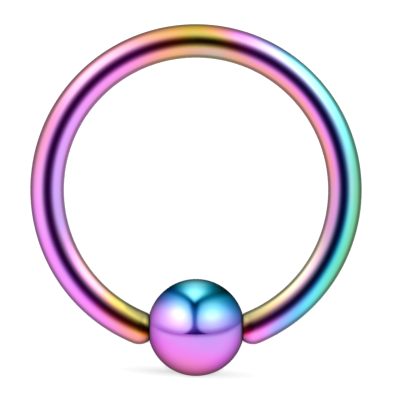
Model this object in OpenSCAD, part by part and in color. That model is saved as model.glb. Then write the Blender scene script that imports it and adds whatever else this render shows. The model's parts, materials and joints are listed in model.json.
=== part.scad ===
// Captive bead septum ring, lying on its side.
// Millimetres, +Z up. The surface it rests on is z = 0, with the origin under the middle of the ring.
// The bead is toward -Y and the crown of the ring toward +Y.

/* [Wire] */
// Diameter of the wire
wire_d = 1.02; // [0.9:0.01:1.2]
// Inside diameter of the ring
ring_id = 8; // [7:0.1:12]

/* [Bead] */
// Diameter of the bead
bead_d = 2.94; // [2.8:0.01:3.4]
// How deep each rounded wire tip reaches into the bead
seat_depth = 0.25; // [0.2:0.01:0.35]
// Running gap between a wire tip and its dimple
seat_gap = 0.03; // [0.01:0.01:0.05]

/* [Hidden] */

wire_r = wire_d / 2;
bead_r = bead_d / 2;

// Step between the wire and its rounded tip, so small that it can't be seen or felt
TIP_STEP = 0.002;

// Radius of each rounded tip
tip_r = wire_r - TIP_STEP;

// Radius of the wire's centre line
ring_r = ring_id / 2 + wire_r;

// Distance from the middle of the bead to the middle of each rounded tip
seat_x = bead_r - seat_depth + wire_r;

// Angle between the gap's middle and each end of the wire
end_angle = asin(seat_x / ring_r);

// Distance from the middle of the ring to the middle of the bead
bead_drop = ring_r * cos(end_angle);

// The bead is thicker than the wire, so the ring lies sloped, on the bead and on its crown
rest_tilt = asin((bead_r - wire_r) / (ring_r + bead_drop));

// Where the middle of the ring is when both touch the surface and the origin is centred
ring_y = ((bead_drop - ring_r) * cos(rest_tilt) + bead_r - wire_r) / 2;
ring_z = wire_r + ring_r * sin(rest_tilt);

// Facets of the drawn mesh, round the ring and round the wire or the bead
RING_FN = 192;
ROUND_FN = 72;

WIRE_COLOUR = "orchid";
BEAD_COLOUR = "mediumpurple";

// Takes a shape drawn flat round the ring's middle to where it lies
module at_rest() {
    translate([0, ring_y, ring_z])
        rotate([-rest_tilt, 0, 0])
            children();
}

// Bent wire with a gap at -Y, and a rounded tip on each end
module ring_wire() {
    color(WIRE_COLOUR)
        at_rest() {
            rotate([0, 0, end_angle - 90])
                rotate_extrude(angle = 360 - 2 * end_angle, $fn = RING_FN)
                    translate([ring_r, 0])
                        circle(r = wire_r, $fn = ROUND_FN);
            for (side = [-1, 1])
                translate([side * seat_x, -bead_drop, 0])
                    sphere(r = tip_r, $fn = ROUND_FN);
        }
}

// Half outline of the bead, with a round notch at each end of its axis
module bead_outline() {
    difference() {
        intersection() {
            circle(r = bead_r, $fn = ROUND_FN);
            translate([0, -bead_d])
                square([bead_d, 2 * bead_d]);
        }
        for (side = [-1, 1])
            translate([0, side * seat_x])
                circle(r = wire_r + seat_gap, $fn = ROUND_FN);
    }
}

// Bead with a round dimple on each side, one for each tip of the wire
module captive_bead() {
    color(BEAD_COLOUR)
        at_rest()
            translate([0, -bead_drop, 0])
                rotate([0, 90, 0])
                    rotate_extrude($fn = ROUND_FN)
                        bead_outline();
}

ring_wire();
captive_bead();
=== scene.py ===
"""Captive bead septum ring: the polished wire and bead with their rainbow film, the stage and the camera.

The hoop lies on its side, on its bead and its crown, and is seen square on to its own plane.
Places on the wire are given by a clock angle in degrees, 0 at the crown and growing to the right as the
camera sees it, and by a lean, -1 at the inner edge, 0 on the crest that faces the camera and 1 at the outer
edge.
Places on the bead are given as shares of its radius, across from tip to tip and up toward the crown.
"""

import json
import math

import bmesh
import bpy
from bpy.props import FloatProperty, FloatVectorProperty, IntProperty, PointerProperty
from mathutils import Matrix, Vector


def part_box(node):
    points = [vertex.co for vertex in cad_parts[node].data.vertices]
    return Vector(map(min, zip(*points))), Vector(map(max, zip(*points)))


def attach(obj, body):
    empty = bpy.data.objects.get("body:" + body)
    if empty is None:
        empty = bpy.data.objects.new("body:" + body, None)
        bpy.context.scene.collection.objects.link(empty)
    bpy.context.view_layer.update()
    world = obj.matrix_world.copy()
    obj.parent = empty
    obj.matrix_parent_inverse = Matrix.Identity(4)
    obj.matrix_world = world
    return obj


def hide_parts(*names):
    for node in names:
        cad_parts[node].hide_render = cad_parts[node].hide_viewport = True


bl_info = {
    "name": "Captive Bead Septum Ring",
    "version": (1, 0, 0),
    "blender": (4, 5, 0),
    "location": "3D View > Sidebar > Septum Ring",
    "description": "Polished septum ring with a rainbow film, its bead, and a soft studio round them",
    "category": "Object",
}

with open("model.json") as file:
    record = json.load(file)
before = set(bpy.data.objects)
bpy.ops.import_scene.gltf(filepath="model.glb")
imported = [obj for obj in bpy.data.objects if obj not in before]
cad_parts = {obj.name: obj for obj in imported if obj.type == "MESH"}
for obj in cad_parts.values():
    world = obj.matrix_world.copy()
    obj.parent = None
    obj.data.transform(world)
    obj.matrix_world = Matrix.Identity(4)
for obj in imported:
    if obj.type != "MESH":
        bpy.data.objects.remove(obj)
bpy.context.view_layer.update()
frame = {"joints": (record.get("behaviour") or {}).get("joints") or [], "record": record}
MM = 0.001

# What the frame says of the part: the wire's crown, and the hinge through the bead
SEAT = next(m for m in frame["record"]["mounts"] if m["name"] == "piercing_seat")
SPIN = next(j for j in frame["joints"] if j["name"] == "bead_spin")
CROWN = Vector(SEAT["pos_m"])
BEAD_MIDDLE = Vector(SPIN["pos_m"])
WIRE_RADIUS = SEAT["dims"]["r_mm"] * MM

# The hoop's own axes: from tip to tip, from the bead to the crown, and square out of its plane
ACROSS = Vector(SPIN["axis"]).normalized()
TO_CROWN = (CROWN - BEAD_MIDDLE).normalized()
FACING = ACROSS.cross(TO_CROWN)
HOOP_AXES = Matrix((ACROSS, TO_CROWN, FACING)).transposed()

# The bead rests on the floor at z = 0, and the hoop's widest points are its outer edges
BEAD_RADIUS = BEAD_MIDDLE.z
HOOP_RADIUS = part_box("ring_wire")[1].x - WIRE_RADIUS
HOOP_MIDDLE = CROWN - HOOP_RADIUS * TO_CROWN
BEAD_DROP = (HOOP_MIDDLE - BEAD_MIDDLE).length
TIP_REACH = math.sqrt(HOOP_RADIUS**2 - BEAD_DROP**2)
END_CLOCK = math.pi - math.asin(TIP_REACH / HOOP_RADIUS)

# The stage's own sizes, with how far from the middle the floor's glow grows, and the point of the hoop's
# plane that is in the middle of the picture
HOOP_DOME_RADIUS = 50 * MM
BEAD_DOME_RADIUS = 300 * MM
FRONT_LAMP_WIDTH = 36 * MM
FLOOR_HALF_WIDTH = 250 * MM
GLOW_STARTS = 20 * MM
GLOW_IS_FULL = 60 * MM
AIM = HOOP_MIDDLE + ACROSS * (0.121 * MM) - TO_CROWN * (0.308 * MM)


def linear(code):
    """Linear red, green and blue of a colour written as six hex digits."""
    shares = [int(code[i : i + 2], 16) / 255 for i in (0, 2, 4)]
    return tuple(c / 12.92 if c <= 0.04045 else ((c + 0.055) / 1.055) ** 2.4 for c in shares)


# The oxide film's colours in the order in which they follow each other as the film thickens
FILM_COLOURS = (
    # name, place, colour
    ("bronze", -0.10, "8C7C34"),
    ("olive", 0.00, "D8CC60"),
    ("straw", 0.10, "E8C254"),
    ("gold", 0.18, "F8BA6C"),
    ("peach", 0.25, "FCAE88"),
    ("salmon", 0.32, "FDA29C"),
    ("rose", 0.40, "FB9BBE"),
    ("pink", 0.48, "FA96E0"),
    ("magenta", 0.55, "FA92FC"),
    ("orchid", 0.62, "EC9EFF"),
    ("lavender", 0.69, "D0A8FC"),
    ("periwinkle", 0.76, "A8B0FC"),
    ("sky", 0.83, "74CCFC"),
    ("cyan", 0.89, "70E8F4"),
    ("teal", 0.95, "74E6CC"),
    ("green", 1.00, "7CD8A8"),
    ("leaf", 1.08, "88D094"),
)
FILM_ROWS = [(place, linear(code)) for _, place, code in FILM_COLOURS]

# How far along those colours the wire's film is by clock angle, near the outer edge, on the crest and near
# the inner edge, and how much bare steel shows through it near the inner edge
FILM_BY_CLOCK = (
    # clock, outer, crest, inner, bare
    (-157, 0.33, 0.14, -0.09, 0.28),
    (-150, 0.46, 0.33, -0.03, 0.20),
    (-144, 0.54, 0.40, 0.10, 0.15),
    (-136, 0.53, 0.59, 0.41, 0.40),
    (-124, 0.57, 0.66, 0.41, 0.22),
    (-112, 0.54, 0.65, 0.59, 0.35),
    (-104, 0.58, 0.64, 0.70, 0.10),
    (-88, 0.50, 0.66, 0.69, 0.00),
    (-78, 0.42, 0.64, 0.67, 0.00),
    (-60, 0.41, 0.62, 0.63, 0.00),
    (-48, 0.40, 0.59, 0.55, 0.15),
    (-32, 0.37, 0.56, 0.50, 0.00),
    (-24, 0.36, 0.54, 0.44, 0.00),
    (-16, 0.24, 0.41, 0.32, 0.05),
    (-8, 0.17, 0.22, 0.23, 0.17),
    (0, 0.07, -0.03, 0.33, 0.56),
    (8, 0.26, -0.04, 0.45, 0.95),
    (16, 0.56, 0.42, 0.29, 0.36),
    (24, 0.70, 0.66, 0.37, 0.14),
    (36, 0.82, 0.70, 0.36, 0.06),
    (48, 0.86, 0.73, 0.35, 0.00),
    (64, 0.89, 0.77, 0.38, 0.00),
    (80, 0.96, 0.79, 0.36, 0.00),
    (92, 1.00, 0.80, 0.49, 0.36),
    (104, 0.99, 0.83, 0.53, 0.40),
    (114, 0.98, 0.84, 0.51, 0.85),
    (124, 0.96, 0.84, 0.52, 0.95),
    (136, 0.89, 0.78, 0.40, 1.00),
    (145, 0.80, 0.73, 0.23, 0.88),
    (151, 0.74, 0.57, 0.13, 0.83),
    (157, 0.52, 0.48, 0.11, 0.80),
)

# By clock angle, how much light the painted shade leaves on the wire's inner side, how much a painted shade
# deepens its colour just inside the crest, how much paler it is just outside it, and how much painted shade
# darkens it near its outer edge
TONE_BY_CLOCK = (
    # clock, inner light, deeper, paler, edge shade
    (-157, 0.80, 0.15, 0.00, 0.00),
    (-150, 0.60, 0.00, -0.10, 0.00),
    (-144, 0.67, -0.30, -0.20, 0.00),
    (-135, 0.76, -0.55, -0.25, 0.05),
    (-124, 1.00, -0.30, -0.15, 0.10),
    (-112, 0.77, 0.00, -0.10, 0.15),
    (-104, 0.92, 0.30, 0.15, 0.20),
    (-90, 1.00, 0.60, 0.42, 0.30),
    (-70, 0.98, 0.60, 0.35, 0.40),
    (-50, 0.99, 0.62, 0.60, 0.47),
    (-30, 1.00, 0.52, 0.55, 0.45),
    (-12, 0.98, 0.48, 0.20, 0.30),
    (0, 0.92, -0.07, 0.20, 0.20),
    (12, 0.92, 0.32, 0.60, 0.26),
    (30, 0.97, 0.65, 0.58, 0.38),
    (50, 0.98, 0.80, 0.72, 0.36),
    (70, 0.96, 0.76, 0.52, 0.28),
    (90, 0.90, 0.64, 0.60, 0.15),
    (104, 0.85, 0.30, 0.10, 0.05),
    (114, 0.95, 0.15, -0.28, 0.00),
    (124, 1.00, -0.10, -0.22, 0.00),
    (135, 0.85, -0.36, -0.16, 0.00),
    (145, 0.71, -0.15, -0.10, 0.00),
    (157, 0.62, 0.10, 0.00, 0.00),
)

# Soft spots of painted shade on the wire, or of painted light where the number is below zero
PAINTED_SHADE_SPOTS = (
    # darker, clock, half width, lean, half width
    (0.24, 87, 8, 0.40, 0.25),
    (-0.60, 130, 19, -0.79, 0.10),
    (-0.14, -4, 26, 0.82, 0.08),
)

# Soft spots on the wire where a painted shade deepens its colour, or a painted highlight pales it where the
# number is below zero
PAINTED_DEPTH_SPOTS = (
    # deeper, clock, half width, lean, half width
    (-0.15, 87, 8, 0.40, 0.25),
    (-0.20, -128, 16, -0.82, 0.12),
    (0.20, -61, 9, 0.55, 0.13),
    (-0.13, 45, 16, 0.72, 0.12),
    (0.25, 2, 17, 0.76, 0.13),
)

# Painted shade: what the colour is multiplied by along the wire's crest beside the bead, near the outer edge
# of the wire's very end on the right, and on the bead round its two creases
LEFT_WIRE_PAINTED_SHADE = (0.03, 0.03, 0.03, 1)
RIGHT_WIRE_PAINTED_SHADE = (0.15, 0.035, 0.095, 1)
RIGHT_END_PAINTED_SHADE = (1, 0.6, 0.6, 1)
LEFT_CREASE_PAINTED_SHADE = (0.5, 0.7, 0.3, 1)
RIGHT_CREASE_PAINTED_SHADE = (0.1, 0, 0, 1)

# How far that painted shade on the bead and the painted dark line inside it reach from the crease
CREASE_PAINTED_SHADE_WIDTH = 0.2 * MM
CREASE_WIDTH = 0.03 * MM

# What the metal's far edges keep of their light
EDGE_TINT = (0.6, 0.6, 0.6, 1)

# How far along the film's colours the bead's film is, by height on it
FILM_BY_HEIGHT = (
    # height, film
    (-1.20, 0.47),
    (-0.70, 0.57),
    (-0.50, 0.635),
    (-0.30, 0.65),
    (-0.10, 0.70),
    (0.10, 0.765),
    (0.30, 0.815),
    (0.50, 0.855),
    (0.65, 0.875),
    (0.80, 0.875),
    (1.00, 0.88),
)

# Soft spots on the bead where its film is thicker, or thinner where the number is below zero
BEAD_FILM_SPOTS = (
    # thicker, across, half width, up, half width
    (-0.08, -0.02, 0.44, -0.90, 0.44),
    (0.03, 0.22, 0.25, -0.30, 0.12),
    (0.03, -0.80, 0.17, -0.20, 0.20),
    (-0.03, -0.85, 0.15, 0.31, 0.09),
    (-0.03, 0.85, 0.13, -0.38, 0.20),
)

# How bright the hoop's surroundings are, by their distance from the camera's side of the studio, where 0 is
# what a ball mirrors at its middle and 1 is what it mirrors at its edge
LIGHT_BY_REACH = (
    # reach, light
    (0.00, 0.04),
    (0.08, 0.065),
    (0.16, 0.125),
    (0.20, 0.19),
    (0.24, 0.295),
    (0.28, 0.425),
    (0.32, 0.56),
    (0.36, 0.70),
    (0.40, 0.815),
    (0.50, 0.955),
    (0.58, 0.94),
    (0.66, 0.905),
    (0.72, 0.84),
    (0.78, 0.715),
    (0.83, 0.515),
    (0.88, 0.37),
    (0.93, 0.31),
    (1.00, 0.49),
)

# The colours of the hoop's surroundings, near the camera and everywhere else
NEAR_CAMERA = (0.73, 0.28, 0.79, 1)
WHITE = (1, 1, 1, 1)

# The soft lamps at the hoop's upper sides, as a mirror ball shows them
HOOP_LAMPS = (
    # power, clock, half width, reach, half depth, start of the fade
    (2.6, 45, 41.5, 0.595, 0.375, -0.47),
    (1.48, -41, 34.7, 0.593, 0.336, -0.34),
)


class HoopSettings(bpy.types.PropertyGroup):
    """The bent wire."""

    wire_radius: FloatProperty(
        name="Wire radius", description="Half the thickness of the wire", default=WIRE_RADIUS,
        unit="LENGTH", precision=5,
    )
    hoop_radius: FloatProperty(
        name="Hoop radius", description="Radius of the wire's centre line", default=HOOP_RADIUS,
        unit="LENGTH", precision=5,
    )
    steps_round_hoop: IntProperty(
        name="Steps round the hoop", description="Sections from one tip to the other", default=420, min=24,
    )
    steps_round_wire: IntProperty(
        name="Steps round the wire", description="Faces in each section", default=72, min=12,
    )
    polish: FloatProperty(
        name="Polish", description="Roughness of the wire's surface", default=0.07, min=0, max=1,
        subtype="FACTOR",
    )
    bare_steel: FloatVectorProperty(
        name="Bare steel", description="Colour of the steel where the film is thin",
        default=(0.58, 0.61, 0.36), min=0, max=1, subtype="COLOR", size=3,
    )


class BeadSettings(bpy.types.PropertyGroup):
    """The captive bead."""

    bead_radius: FloatProperty(
        name="Bead radius", description="Radius of the bead", default=BEAD_RADIUS,
        unit="LENGTH", precision=5,
    )
    seat_gap: FloatProperty(
        name="Seat gap", description="Gap between a wire tip and its dimple", default=0.03 * MM,
        unit="LENGTH", precision=5,
    )
    steps_round_bead: IntProperty(
        name="Steps round the bead", description="Faces round the bead's axis", default=160, min=24,
    )
    steps_along_bead: IntProperty(
        name="Steps along the bead", description="Rings between the two dimples", default=120, min=24,
    )
    polish: FloatProperty(
        name="Polish", description="Roughness of the bead's surface", default=0.06, min=0, max=1,
        subtype="FACTOR",
    )


class StageSettings(bpy.types.PropertyGroup):
    """The floor, the lamps and the camera."""

    floor_colour: FloatVectorProperty(
        name="Floor colour", description="Colour of the plain floor", default=(0.8, 0.8, 0.8),
        min=0, max=1, subtype="COLOR", size=3,
    )
    floor_glow: FloatProperty(
        name="Floor glow", description="The floor's own light near the hoop", default=0.6, min=0, max=1,
        subtype="FACTOR",
    )
    front_lamp_power: FloatProperty(
        name="Front lamp", description="Power of the small lamp by the camera", default=0.79, min=0,
        unit="POWER",
    )
    shadow: FloatProperty(
        name="Shadow", description="Depth of the faint shadow on the floor beside the bead", default=0.46,
        min=0, max=1, subtype="FACTOR",
    )
    camera_distance: FloatProperty(
        name="Camera distance", description="From the camera to the hoop's plane", default=0.3,
        unit="LENGTH",
    )
    frame_width: FloatProperty(
        name="Frame width", description="Width that the picture takes in at the hoop's plane",
        default=12.11 * MM, unit="LENGTH", precision=5,
    )


class Value:
    """A socket that numbers and other sockets can be added to, multiplied by and so on."""

    def __init__(self, graph, socket):
        self.graph = graph
        self.socket = socket

    def __add__(self, other):
        return self.graph.maths("ADD", self, other)

    def __radd__(self, other):
        return self.graph.maths("ADD", other, self)

    def __sub__(self, other):
        return self.graph.maths("SUBTRACT", self, other)

    def __rsub__(self, other):
        return self.graph.maths("SUBTRACT", other, self)

    def __mul__(self, other):
        return self.graph.maths("MULTIPLY", self, other)

    def __rmul__(self, other):
        return self.graph.maths("MULTIPLY", other, self)

    def __truediv__(self, other):
        return self.graph.maths("DIVIDE", self, other)

    def __rtruediv__(self, other):
        return self.graph.maths("DIVIDE", other, self)

    def __pow__(self, other):
        return self.graph.maths("POWER", self, other)

    def __rpow__(self, other):
        return self.graph.maths("POWER", other, self)

    def __neg__(self):
        return self.graph.maths("MULTIPLY", self, -1)

    def __abs__(self):
        return self.graph.maths("ABSOLUTE", self)

    def out(self, name):
        """Another output of the same node."""
        return Value(self.graph, self.socket.node.outputs[name])


class Graph:
    """Adds nodes to one material's or world's tree."""

    def __init__(self, tree):
        self.tree = tree
        tree.nodes.clear()

    def node(self, kind, settings=None, inputs=None, output=0):
        """Adds a node, sets its properties and its ramp's stops, then its sockets' values or links."""
        made = self.tree.nodes.new(kind)
        for name, value in (settings or {}).items():
            if name == "stops":
                self.set_stops(made.color_ramp, value)
            else:
                setattr(made, name, value)
        for key, value in (inputs or {}).items():
            if isinstance(value, Value):
                self.tree.links.new(value.socket, made.inputs[key])
            else:
                made.inputs[key].default_value = value
        return Value(self, made.outputs[output]) if made.outputs else made

    @staticmethod
    def set_stops(ramp, stops):
        """Gives a colour ramp its stops, each a place and a colour with or without its alpha."""
        ramp.elements.remove(ramp.elements[0])
        for i, (place, colour) in enumerate(stops):
            stop = ramp.elements[0] if i == 0 else ramp.elements.new(place)
            stop.position = place
            stop.color = (*colour, 1)[:4]

    def maths(self, operation, *terms):
        """A Math node of one or two numbers."""
        return self.node("ShaderNodeMath", {"operation": operation}, dict(enumerate(terms)))

    def vector(self, operation, a, b=(0, 0, 0), output="Vector"):
        """A Vector Math node of one or two vectors."""
        return self.node("ShaderNodeVectorMath", {"operation": operation}, {0: a, 1: b}, output)

    def dot(self, vector, axis):
        """How far a vector reaches along an axis."""
        return self.vector("DOT_PRODUCT", vector, axis, "Value")

    def distance(self, across, upward):
        """How far a point that lies this far across and up is from the middle."""
        return (across * across + upward * upward) ** 0.5

    def at_least(self, value, lowest):
        """The value, or the lowest that it may be."""
        return self.maths("MAXIMUM", value, lowest)

    def at_most(self, value, highest):
        """The value, or the highest that it may be."""
        return self.maths("MINIMUM", value, highest)

    def rise(self, value, low, high):
        """0 below low, 1 above high, and smooth between them."""
        return self.node(
            "ShaderNodeMapRange",
            {"interpolation_type": "SMOOTHSTEP"},
            {"Value": value, "From Min": low, "From Max": high},
        )

    def fall(self, value, low, high):
        """1 below low, 0 above high, and smooth between them."""
        return 1 - self.rise(value, low, high)

    def bell(self, value, middle, half_width):
        """1 at the middle, about a third at its half width on both sides, and smooth all along."""
        away = (value - middle) / half_width
        return self.maths("EXPONENT", -(away * away))

    def spots(self, a, b, rows):
        """Adds up soft spots, each of a strength, and of a middle and a half width along a and along b."""
        total = 0
        for strength, a_middle, a_width, b_middle, b_width in rows:
            total = total + strength * self.bell(a, a_middle, a_width) * self.bell(b, b_middle, b_width)
        return total

    def table(self, value, rows):
        """Looks up a colour or a number in rows of (value, colour or number), and mixes between two rows."""
        low, high = rows[0][0], rows[-1][0]
        stops = []
        for at, found in rows:
            stops.append(((at - low) / (high - low), found if isinstance(found, tuple) else (found,) * 3))
        return self.node("ShaderNodeValToRGB", {"stops": stops}, {"Fac": (value - low) / (high - low)})

    def table_of_four(self, value, rows):
        """Looks the other four numbers of a row up by its first, the last of which is never below zero.

        The rest can be, which a ramp's colours can't, so it holds half of each of them plus a half.
        """
        held = [(at, (*(0.5 + 0.5 * number for number in three), last)) for at, *three, last in rows]
        found = self.table(value, held)
        red = self.node("ShaderNodeSeparateColor", None, {"Color": found}, "Red")
        three = [channel * 2 - 1 for channel in (red, red.out("Green"), red.out("Blue"))]
        return (*three, found.out("Alpha"))

    def blend(self, factor, a, b, how="MIX"):
        """Mixes two colours."""
        return self.node(
            "ShaderNodeMix",
            {"data_type": "RGBA", "blend_type": how},
            {"Factor": factor, "A": a, "B": b},
            "Result",
        )

    def shade(self, colour, by, share=1.0):
        """Multiplies a colour by another or by a number, in full or in part."""
        return self.blend(share, colour, by, "MULTIPLY")

    def deepen(self, colour, power):
        """Raises each channel of a colour to a power."""
        return self.node("ShaderNodeGamma", None, {"Color": colour, "Gamma": power})


def new_material(name):
    """An empty material and the graph that fills it."""
    material = bpy.data.materials.new(name)
    material.use_nodes = True
    return material, Graph(material.node_tree)


def finish_metal(graph, colour, roughness):
    """Ends a graph in polished metal whose far edges stay deep in colour."""
    shader = graph.node(
        "ShaderNodeBsdfPrincipled",
        None,
        {"Base Color": colour, "Metallic": 1.0, "Roughness": roughness, "Specular Tint": EDGE_TINT},
        "BSDF",
    )
    graph.node("ShaderNodeOutputMaterial", None, {"Surface": shader})


class WirePlace:
    """What the wire's material goes by at each point of its surface."""

    def __init__(self, graph, settings):
        place = graph.node("ShaderNodeTexCoord", None, None, "Object")
        offset = graph.vector("SUBTRACT", place, HOOP_MIDDLE)
        across = graph.dot(offset, ACROSS)
        upward = graph.dot(offset, TO_CROWN)
        self.clock = graph.maths("ARCTAN2", across, upward) * math.degrees(1)
        self.lean = (graph.distance(across, upward) - settings.hoop_radius) / settings.wire_radius
        # 1 on the right half of the hoop and 0 on the left
        self.right = graph.rise(self.clock, -1, 1)
        # How far the bead's surface is, in mm
        self.from_bead = (graph.vector("DISTANCE", place, BEAD_MIDDLE, "Value") - BEAD_RADIUS) / MM


def hoop_film(graph, at, bare_steel):
    """Colour of the wire's film, with the bare steel that shows through it."""
    outer, crest, inner, bare = graph.table_of_four(at.clock, FILM_BY_CLOCK)
    film = crest + (outer - crest) * graph.rise(at.lean, 0, 0.7)
    film = film + (inner - crest) * graph.rise(-at.lean, 0, 0.7)
    # On the right half it is thicker toward the outer edge and half way to the inner one
    film = film + 0.064 * graph.rise(at.lean, 0.62, 0.88) * graph.bell(at.clock, 50, 20)
    film = film + 0.18 * graph.rise(at.lean, 0.74, 0.92) * graph.bell(at.clock, 106, 18)
    film = film + 0.06 * graph.bell(at.lean, -0.5, 0.17) * graph.bell(at.clock, 62, 30)
    # It is thinner all along the inner edge, and beside the bead on the right
    film = film - 0.04 * graph.rise(-at.lean, 0.6, 0.85)
    film = film - 0.07 * at.right * graph.fall(at.from_bead, 0.05, 0.42) * graph.bell(at.lean, 0.2, 0.25)
    colour = graph.table(film, FILM_ROWS)
    return graph.blend(bare * graph.rise(-at.lean, -0.4, 1.2), colour, (*bare_steel, 1))


def hoop_painted_shade(graph, at, inner_painted_light, edge_painted_shade):
    """How much painted shade darkens the wire's colour, below zero where painted light brightens it."""
    painted_dark = (1 - inner_painted_light) * graph.rise(-at.lean, 0, 0.4) + edge_painted_shade * graph.bell(at.lean, 0.82, 0.13)
    painted_dark = painted_dark + graph.spots(at.clock, at.lean, PAINTED_SHADE_SPOTS)
    # A thin line of painted light runs along the inner edge. It fades toward the bead, sooner and further on
    # the right, and comes back beside it
    line = 0.2 - 0.1 * graph.rise(at.clock, 80, 100) - 0.1 * graph.rise(abs(at.clock), 115, 130)
    painted_dark = painted_dark - line * graph.bell(at.lean, -0.83, 0.1)
    return painted_dark - 0.3 * graph.rise(abs(at.clock), 136, 152) * graph.bell(at.lean, -0.87, 0.13)


def hoop_painted_depth(graph, at, deeper, paler, edge_painted_shade):
    """The power that deepens and darkens the wire's colour, a painted shade that is greatest along the
    crest.
    """
    power = 1 + 1.5 * graph.bell(at.lean, 0.03, 0.19)
    power = power + deeper * graph.bell(at.lean, -0.2, 0.137) - paler * graph.bell(at.lean, 0.21, 0.293)
    power = power - 0.5 * edge_painted_shade * graph.bell(at.lean, 0.75, 0.11)
    power = power + graph.spots(at.clock, at.lean, PAINTED_DEPTH_SPOTS)
    return graph.at_least(power, 0.05)


def paint_shade_beside_bead(graph, at, colour):
    """Paints shade on the wire next to the bead, most along its crest, and a thin painted highlight on its
    right end.
    """
    # Painted shade deepens the colour next to the bead, most along the crest
    beside = graph.fall(at.from_bead, 0.18, 0.42)
    colour = graph.deepen(colour, 1 + 0.7 * beside * graph.bell(at.lean, 0.15, 0.3))
    # Painted shade darkens the crest beside the bead
    near_crest = graph.rise(at.lean, -0.48, -0.15) * graph.fall(at.lean, 0, 0.4)
    painted_tint = graph.blend(at.right, LEFT_WIRE_PAINTED_SHADE, RIGHT_WIRE_PAINTED_SHADE)
    colour = graph.shade(colour, painted_tint, near_crest * beside)
    # Painted shade reddens and darkens the outer edge of the right end beside the bead
    right_end_shade = at.right * graph.fall(at.from_bead, 0.06, 0.2) * graph.rise(at.lean, 0.35, 0.6)
    colour = graph.shade(colour, RIGHT_END_PAINTED_SHADE, right_end_shade)
    # Painted shade darkens both ends in the crease, the left one most, and the right one has a thin painted
    # highlight
    light = (0.65 + 0.35 * graph.rise(at.from_bead, 0.02, 0.35)) * graph.rise(at.from_bead, 0, 0.06)
    light = light * (1 - 0.35 * (1 - at.right) * graph.fall(at.from_bead, 0.07, 0.15))
    painted_streak = at.right * graph.fall(at.from_bead, 0.3, 0.5) * graph.bell(at.lean, 0.2, 0.17)
    return graph.shade(colour, light * (1 + 0.3 * painted_streak))


def hoop_material(settings):
    """Rainbow film that shifts round the hoop, and from its outer to its inner edge, with painted light and
    shade on it.
    """
    material, graph = new_material("hoop_rainbow_film")
    at = WirePlace(graph, settings)
    inner_painted_light, deeper, paler, edge_painted_shade = graph.table_of_four(at.clock, TONE_BY_CLOCK)
    colour = hoop_film(graph, at, settings.bare_steel)
    colour = graph.shade(colour, 1 - hoop_painted_shade(graph, at, inner_painted_light, edge_painted_shade))
    colour = graph.deepen(colour, hoop_painted_depth(graph, at, deeper, paler, edge_painted_shade))
    colour = paint_shade_beside_bead(graph, at, colour)
    finish_metal(graph, colour, settings.polish)
    return material


def add_ring(mesh, middle, upward, radius, count):
    """Adds a ring of points round a middle, in the plane that upward and the way the hoop faces lie in."""
    ring = []
    for i in range(count):
        angle = math.tau * i / count
        side = upward * math.sin(angle) + FACING * math.cos(angle)
        ring.append(mesh.verts.new(middle + side * radius))
    return ring


def close_rings(mesh, rings):
    """Joins rings of as many points each with faces."""
    for ring, following in zip(rings, rings[1:]):
        count = len(ring)
        for i in range(count):
            j = (i + 1) % count
            mesh.faces.new((ring[i], ring[j], following[j], following[i]))


def close_end(mesh, ring, tip):
    """Joins a ring to the single point past it."""
    for i, corner in enumerate(ring):
        mesh.faces.new((corner, ring[(i + 1) % len(ring)], tip))


def finish_mesh(mesh, name, material):
    """Turns a bmesh into a smooth piece of the scene."""
    bmesh.ops.recalc_face_normals(mesh, faces=mesh.faces)
    for face in mesh.faces:
        face.smooth = True
    data = bpy.data.meshes.new(name)
    mesh.to_mesh(data)
    mesh.free()
    data.materials.append(material)
    piece = bpy.data.objects.new(name, data)
    bpy.context.scene.collection.objects.link(piece)
    return piece


def keep_to_studio(piece):
    """Keeps a piece out of reflections and bounced light, so that both pieces mirror the studio alone."""
    piece.visible_glossy = False
    piece.visible_diffuse = False


class SEPTUMRING_OT_make_hoop(bpy.types.Operator):
    """Sweep the wire round the hoop and round its two tips"""

    bl_idname = "septum_ring.make_hoop"
    bl_label = "Make Hoop"

    def execute(self, context):
        settings = context.scene.septum_hoop
        radius = settings.wire_radius
        count = settings.steps_round_wire
        tip_steps = count // 4
        mesh = bmesh.new()

        def line_at(clock):
            """A point of the wire's centre line, and the ways outward and along it from there."""
            outward = ACROSS * math.sin(clock) + TO_CROWN * math.cos(clock)
            along = ACROSS * math.cos(clock) - TO_CROWN * math.sin(clock)
            return HOOP_MIDDLE + outward * settings.hoop_radius, outward, along

        def tip_rings(middle, outward, forward, steps):
            """The sections of a rounded tip that points forward."""
            made = []
            for step in steps:
                angle = math.pi / 2 * step / tip_steps
                ahead = middle + forward * (radius * math.cos(angle))
                made.append(add_ring(mesh, ahead, outward, radius * math.sin(angle), count))
            return made

        middle, outward, along = line_at(-END_CLOCK)
        first_tip = mesh.verts.new(middle - along * radius)
        rings = tip_rings(middle, outward, -along, range(1, tip_steps))
        for step in range(settings.steps_round_hoop + 1):
            middle, outward, along = line_at(-END_CLOCK + 2 * END_CLOCK * step / settings.steps_round_hoop)
            rings.append(add_ring(mesh, middle, outward, radius, count))
        rings += tip_rings(middle, outward, along, range(tip_steps - 1, 0, -1))
        last_tip = mesh.verts.new(middle + along * radius)
        close_rings(mesh, rings)
        close_end(mesh, rings[0], first_tip)
        close_end(mesh, rings[-1], last_tip)
        hoop = finish_mesh(mesh, "polished_hoop", hoop_material(settings))
        keep_to_studio(hoop)
        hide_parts("ring_wire")
        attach(hoop, "ring")
        return {"FINISHED"}


def bead_film(graph, x, y):
    """Colour of the bead's film, lilac below and cyan above, at shares of its radius across and up."""
    # Its bands climb a little toward the right tip, and steeply toward the left one
    height = y - x * 0.084 + graph.at_most(x, 0) * 0.757
    height = height + 0.05 * graph.bell(x, 0.38, 0.2) * graph.bell(y, 0.43, 0.15)
    # It is greener at the upper right
    greener = 0.025 * graph.rise(x, 0.25, 0.6) * graph.rise(y, 0.55, 0.75)
    film = graph.table(height, FILM_BY_HEIGHT) + greener + graph.spots(x, y, BEAD_FILM_SPOTS)
    return graph.table(film, FILM_ROWS)


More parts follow.
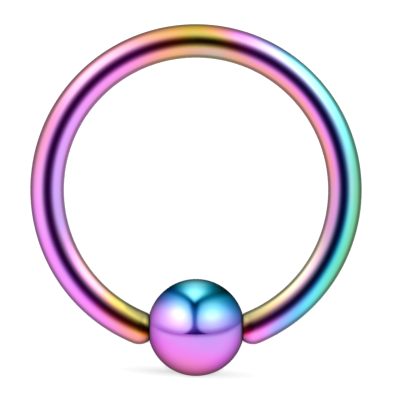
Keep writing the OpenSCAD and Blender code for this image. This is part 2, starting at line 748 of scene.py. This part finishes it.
def bead_material(settings):
    """Rainbow film of the bead, with painted shade and a painted dark line in the crease at each tip of the
    wire.
    """
    material, graph = new_material("bead_rainbow_film")
    place = graph.node("ShaderNodeTexCoord", None, None, "Object")
    offset = graph.vector("SUBTRACT", place, BEAD_MIDDLE)
    x = graph.dot(offset, ACROSS) / settings.bead_radius
    y = graph.dot(offset, TO_CROWN) / settings.bead_radius
    colour = bead_film(graph, x, y)
    dimple = WIRE_RADIUS + settings.seat_gap
    # Painted shade round each crease, and a painted dark line at the rim of its dimple
    for side, painted_tint in ((-1, LEFT_CREASE_PAINTED_SHADE), (1, RIGHT_CREASE_PAINTED_SHADE)):
        from_tip = graph.vector("DISTANCE", place, BEAD_MIDDLE + ACROSS * TIP_REACH * side, "Value")
        colour = graph.shade(colour, painted_tint, graph.fall(from_tip, dimple, dimple + CREASE_PAINTED_SHADE_WIDTH))
        colour = graph.shade(colour, graph.rise(from_tip, dimple, dimple + CREASE_WIDTH))
    finish_metal(graph, colour, settings.polish)
    return material


class SEPTUMRING_OT_make_bead(bpy.types.Operator):
    """Turn the bead and its two dimples round the line from tip to tip"""

    bl_idname = "septum_ring.make_bead"
    bl_label = "Make Bead"

    def execute(self, context):
        settings = context.scene.septum_bead
        radius = settings.bead_radius
        dimple = WIRE_RADIUS + settings.seat_gap
        # Where the dimple's ball cuts the bead's: the rim of the dimple
        rim_x = (radius**2 + TIP_REACH**2 - dimple**2) / (2 * TIP_REACH)
        rim_angle = math.acos(rim_x / radius)
        dimple_angle = math.asin(math.sqrt(radius**2 - rim_x**2) / dimple)
        dimple_steps = 16
        # The bead's outline from one dimple to the other, as places on its axis and its radius there
        profile = []
        for step in range(1, dimple_steps):
            angle = dimple_angle * step / dimple_steps
            profile.append((TIP_REACH - dimple * math.cos(angle), dimple * math.sin(angle)))
        for step in range(settings.steps_along_bead + 1):
            angle = rim_angle + (math.pi - 2 * rim_angle) * step / settings.steps_along_bead
            profile.append((radius * math.cos(angle), radius * math.sin(angle)))
        for x, size in reversed(profile[: dimple_steps - 1]):
            profile.append((-x, size))
        mesh = bmesh.new()
        rings = []
        for x, size in profile:
            rings.append(add_ring(mesh, BEAD_MIDDLE + ACROSS * x, TO_CROWN, size, settings.steps_round_bead))
        close_rings(mesh, rings)
        pole = TIP_REACH - dimple
        close_end(mesh, rings[0], mesh.verts.new(BEAD_MIDDLE + ACROSS * pole))
        close_end(mesh, rings[-1], mesh.verts.new(BEAD_MIDDLE - ACROSS * pole))
        bead = finish_mesh(mesh, "polished_bead", bead_material(settings))
        keep_to_studio(bead)
        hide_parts("captive_bead")
        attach(bead, "bead")
        return {"FINISHED"}


def group_of(name, pieces):
    """A collection of these pieces, for a lamp's light or shadow to keep to."""
    made = bpy.data.collections.new(name)
    for piece in pieces:
        made.objects.link(piece)
    return made


def studio_dome(name, middle, radius, piece, paint):
    """A soft dome of light for one piece alone, painted as a ball at its middle shows it to the camera."""
    mesh = bmesh.new()
    bmesh.ops.create_icosphere(mesh, subdivisions=3, radius=radius)
    material, graph = new_material(name)
    place = graph.node("ShaderNodeTexCoord", None, None, "Object")
    direction = graph.vector("NORMALIZE", place)
    normal = graph.vector("NORMALIZE", graph.vector("ADD", direction, FACING))
    colour = paint(graph, graph.dot(normal, ACROSS), graph.dot(normal, TO_CROWN))
    light = graph.node("ShaderNodeEmission", None, {"Color": colour})
    clear = graph.node("ShaderNodeBsdfTransparent")
    both = graph.node("ShaderNodeAddShader", None, {0: light, 1: clear})
    graph.node("ShaderNodeOutputMaterial", None, {"Surface": both})
    material.cycles.emission_sampling = "NONE"
    dome = finish_mesh(mesh, name, material)
    dome.location = middle
    dome.visible_camera = False
    dome.visible_shadow = False
    dome.visible_diffuse = False
    dome.light_linking.receiver_collection = group_of(name + "_lights", [piece])


def hoop_studio(graph, x, y):
    """Dark round the camera, bright all round, with a soft lamp at each upper side."""
    # The dark lies a little to the left of the camera and above it
    x = x + 0.016
    y = y - 0.018
    reach = graph.distance(x, y)
    turn = graph.maths("ARCTAN2", x, y) * math.degrees(1)
    light = 1.1 * graph.table(reach, LIGHT_BY_REACH)
    for power, clock, half_width, lamp_reach, half_depth, fade in HOOP_LAMPS:
        away = graph.distance((turn - clock) / half_width, (reach - lamp_reach) / half_depth)
        light = light + power * graph.fall(away, fade, 1)
    colour = graph.blend(graph.rise(-reach, -0.195, -0.064), WHITE, NEAR_CAMERA)
    return graph.shade(colour, light)


def bead_lamps(graph, x, y, over):
    """How bright a lamp at each side and one above make the bead's studio, with dark gaps between them."""
    left = 1.026 + 0.834 * graph.bell(x, -0.34, 0.238) * graph.bell(y, 0.30, 0.271)
    right = 0.745 + 0.98 * graph.bell(x, 0.322, 0.294) * graph.bell(y, 0.30, 0.289)
    sides = left + (right - left) * graph.rise(x, -0.08, 0.03)
    # Two arms of the dark gap part under the upper lamp
    parting = -0.025
    reach = ((x - parting) * (x - parting) + 0.0003) ** 0.5
    left_arm = 0.326 * (1 - math.e ** (-4.46 * reach))
    right_arm = 0.211 * (1 - math.e ** (-6.5 * reach))
    arm = 0.439 + left_arm + (right_arm - left_arm) * graph.maths("GREATER_THAN", x, parting)
    past = y - arm
    sides = sides * (0.578 + 0.422 * graph.rise(-past, 0, 0.433))
    # The upper lamp widens upward
    half_width = graph.at_least(0.202 + 0.6 * (y - 0.6), 0.05)
    top = 0.118 + 1.44 * graph.bell(x, -0.032, half_width) * graph.bell(y, 0.731, 0.287)
    top = top * (1 - 0.11 * graph.bell(y, 0.81, 0.06) + 0.12 * graph.rise(y, 0.84, 0.92))
    light = sides + (top - sides) * graph.rise(past, -0.02, 0.069)
    # The arms are darkest where they part, most of all just above that, and thin out
    depth = graph.at_least(0.589 - 0.563 * reach, 0)
    light = light * (1 - depth * graph.bell(past, 0, 0.083 - 0.076 * reach))
    light = light * (1 - 0.35 * graph.bell(x, -0.01, 0.065) * graph.bell(y, 0.48, 0.07))
    # The gap between the side lamps, with a rounded foot on the table
    near = 1 - graph.at_most(graph.at_least(over / 0.244, 0), 1)
    foot = near**4
    half_gap = 0.167 * near**3 + 0.026 * graph.rise(y, 0.2, 0.45)
    outside = graph.at_least(abs(x + 0.033 - 0.03 * foot) - half_gap, 0)
    gap = graph.fall(past, 0, 0.06) * graph.bell(outside, 0, 0.063 + 0.02 * foot)
    return light * (1 - (0.5 + 0.204 * near + 0.18 * foot) * gap)


def bead_light(graph, x, y):
    """How bright the bead's studio is: lamps above, a bright table below, and a dark line between them."""
    # A ball shows the table's far edge as a bent line
    over = y - (0.132 * x * x + 0.15 * x * x * x * x - 0.14)
    lamps = bead_lamps(graph, x, y, over)
    table = 0.939 + 0.026 * y + 0.025 * graph.bell(y, -0.31, 0.1) * graph.rise(x, -0.6, -0.3)
    light = table + (lamps - table) * graph.rise(over, -0.01, 0.01)
    # The line is wider above the edge than below it, and fades toward both tips
    half_width = 0.054 + 0.039 * graph.maths("GREATER_THAN", over, 0)
    line = 0.319 * (1 - 0.095 * x) * (1 - 0.7 * graph.rise(abs(x), 0.6, 0.95))
    light = light * (1 - line * graph.bell(over, 0, half_width))
    light = light * (1 - 0.06 * graph.bell(x, -0.77, 0.1) * graph.bell(y, 0.05, 0.3))
    return graph.at_least(light, 0.005)


def bead_studio(graph, x, y):
    """The bead's lamps and table, in colours that make its film deep in the gaps and pale in the lamps."""
    light = bead_light(graph, x, y)
    film = bead_film(graph, x, y)
    # The dark gaps take on the film's own colour, and so does the bead's edge, but less so at its top
    edge = graph.distance(x, y)
    at_top = graph.bell(x, 0, 0.3) * graph.rise(y, 0.5, 0.7)
    gloom = 2.975 * (1 - graph.at_most(light, 1)) ** 1.41
    gloom = gloom + 0.36 * graph.rise(edge, 0.6, 1) * (1 - 0.9 * at_top)
    gloom = gloom + 0.06 * graph.bell(y, -0.31, 0.1)
    gloom = gloom + 0.5 * graph.bell(x, 0, 0.07) * graph.bell(y, -0.1, 0.06)
    # The brightest light washes the colour out
    wash = 0.543 * graph.at_least(light - 1, 0)
    tint = graph.blend(1.0, graph.deepen(film, gloom), graph.deepen(film, wash), "DIVIDE")
    # All light fades toward the bead's edge
    outer = graph.at_least(edge - 0.698, 0)
    return graph.shade(tint, light * graph.at_least(1 - 8.95 * outer * outer, 0))


class SEPTUMRING_OT_make_stage(bpy.types.Operator):
    """Lay the floor, set the lamps and the world, and place the camera"""

    bl_idname = "septum_ring.make_stage"
    bl_label = "Make Stage"

    def execute(self, context):
        settings = context.scene.septum_stage
        hoop = bpy.data.objects["polished_hoop"]
        bead = bpy.data.objects["polished_bead"]
        floor = self.make_floor(settings)
        studio_dome("hoop_dome", HOOP_MIDDLE, HOOP_DOME_RADIUS, hoop, hoop_studio)
        studio_dome("bead_dome", BEAD_MIDDLE, BEAD_DOME_RADIUS, bead, bead_studio)
        eye = AIM + FACING * settings.camera_distance
        self.make_front_lamp(context, eye, settings.front_lamp_power, floor, [hoop, bead])
        self.make_world(context)
        self.make_camera(context, settings, eye)
        return {"FINISHED"}

    def make_floor(self, settings):
        """A plain pale floor, which glows a little near the hoop and more further out, with a painted shadow
        beside the bead.
        """
        mesh = bmesh.new()
        bmesh.ops.create_grid(mesh, x_segments=1, y_segments=1, size=FLOOR_HALF_WIDTH)
        material, graph = new_material("plain_floor")
        place = graph.node("ShaderNodeTexCoord", None, None, "Object")
        away = graph.rise(graph.vector("LENGTH", place, output="Value"), GLOW_STARTS, GLOW_IS_FULL)
        glow = settings.floor_glow + (1 - settings.floor_glow) * away
        # A faint thin shadow is painted on the floor beside the bead, in the lamp's light alone
        offset = graph.vector("SUBTRACT", place, BEAD_MIDDLE)
        across = graph.dot(offset, ACROSS) / MM
        upward = graph.dot(offset, TO_CROWN) / MM
        shadow = graph.bell(across, -0.25, 1.25) * graph.bell(upward + 0.05 * across, -1.40, 0.11)
        lit = 1 - graph.rise(shadow, 0, 0.08) * (0.43 + settings.shadow * shadow)
        light = graph.node("ShaderNodeEmission", None, {"Color": glow})
        colour = graph.shade((*settings.floor_colour, 1), lit)
        matt = graph.node("ShaderNodeBsdfDiffuse", None, {"Color": colour})
        both = graph.node("ShaderNodeAddShader", None, {0: light, 1: matt})
        graph.node("ShaderNodeOutputMaterial", None, {"Surface": both})
        material.cycles.emission_sampling = "NONE"
        floor = finish_mesh(mesh, "plain_floor", material)
        floor.visible_glossy = False
        return floor

    def make_front_lamp(self, context, place, power, floor, blockers):
        """A round lamp that lights the floor alone, past the pieces that shade it."""
        data = bpy.data.lights.new("front_lamp", "AREA")
        data.shape = "DISK"
        data.size = FRONT_LAMP_WIDTH
        data.energy = power
        lamp = bpy.data.objects.new("front_lamp", data)
        lamp.location = place
        lamp.rotation_euler = (BEAD_MIDDLE - place).to_track_quat("-Z", "Y").to_euler()
        lamp.light_linking.receiver_collection = group_of("front_lamp_lights", [floor])
        lamp.light_linking.blocker_collection = group_of("front_lamp_shadows", blockers)
        context.scene.collection.objects.link(lamp)

    def make_world(self, context):
        """A white surround that the camera alone sees."""
        world = bpy.data.worlds.new("pale_studio")
        world.use_nodes = True
        graph = Graph(world.node_tree)
        seen = graph.node("ShaderNodeLightPath", None, None, "Is Camera Ray")
        pale = graph.node("ShaderNodeBackground", None, {"Color": WHITE, "Strength": seen})
        graph.node("ShaderNodeOutputWorld", None, {"Surface": pale})
        context.scene.world = world

    def make_camera(self, context, settings, eye):
        """A long lens, square on to the hoop's plane."""
        data = bpy.data.cameras.new("camera")
        data.lens = data.sensor_width * settings.camera_distance / settings.frame_width
        data.clip_start = 1 * MM
        data.clip_end = 10
        camera = bpy.data.objects.new("camera", data)
        camera.matrix_world = Matrix.Translation(eye) @ HOOP_AXES.to_4x4()
        context.scene.collection.objects.link(camera)
        context.scene.camera = camera
        context.scene.view_settings.view_transform = "Standard"


class SEPTUMRING_PT_panel(bpy.types.Panel):
    """Lists the makers and what can be changed"""

    bl_label = "Septum Ring"
    bl_idname = "SEPTUMRING_PT_panel"
    bl_space_type = "VIEW_3D"
    bl_region_type = "UI"
    bl_category = "Septum Ring"

    def draw(self, context):
        for settings, operator in (
            ("septum_hoop", "septum_ring.make_hoop"),
            ("septum_bead", "septum_ring.make_bead"),
            ("septum_stage", "septum_ring.make_stage"),
        ):
            box = self.layout.box()
            group = getattr(context.scene, settings)
            for name in group.bl_rna.properties.keys():
                if name not in ("rna_type", "name"):
                    box.prop(group, name)
            box.operator(operator)


CLASSES = (
    HoopSettings,
    BeadSettings,
    StageSettings,
    SEPTUMRING_OT_make_hoop,
    SEPTUMRING_OT_make_bead,
    SEPTUMRING_OT_make_stage,
    SEPTUMRING_PT_panel,
)


def register():
    for cls in CLASSES:
        bpy.utils.register_class(cls)
    bpy.types.Scene.septum_hoop = PointerProperty(type=HoopSettings)
    bpy.types.Scene.septum_bead = PointerProperty(type=BeadSettings)
    bpy.types.Scene.septum_stage = PointerProperty(type=StageSettings)


def unregister():
    del bpy.types.Scene.septum_stage
    del bpy.types.Scene.septum_bead
    del bpy.types.Scene.septum_hoop
    for cls in reversed(CLASSES):
        bpy.utils.unregister_class(cls)


def main():
    register()
    bpy.ops.septum_ring.make_hoop()
    bpy.ops.septum_ring.make_bead()
    bpy.ops.septum_ring.make_stage()


if __name__ == "__main__":
    main()
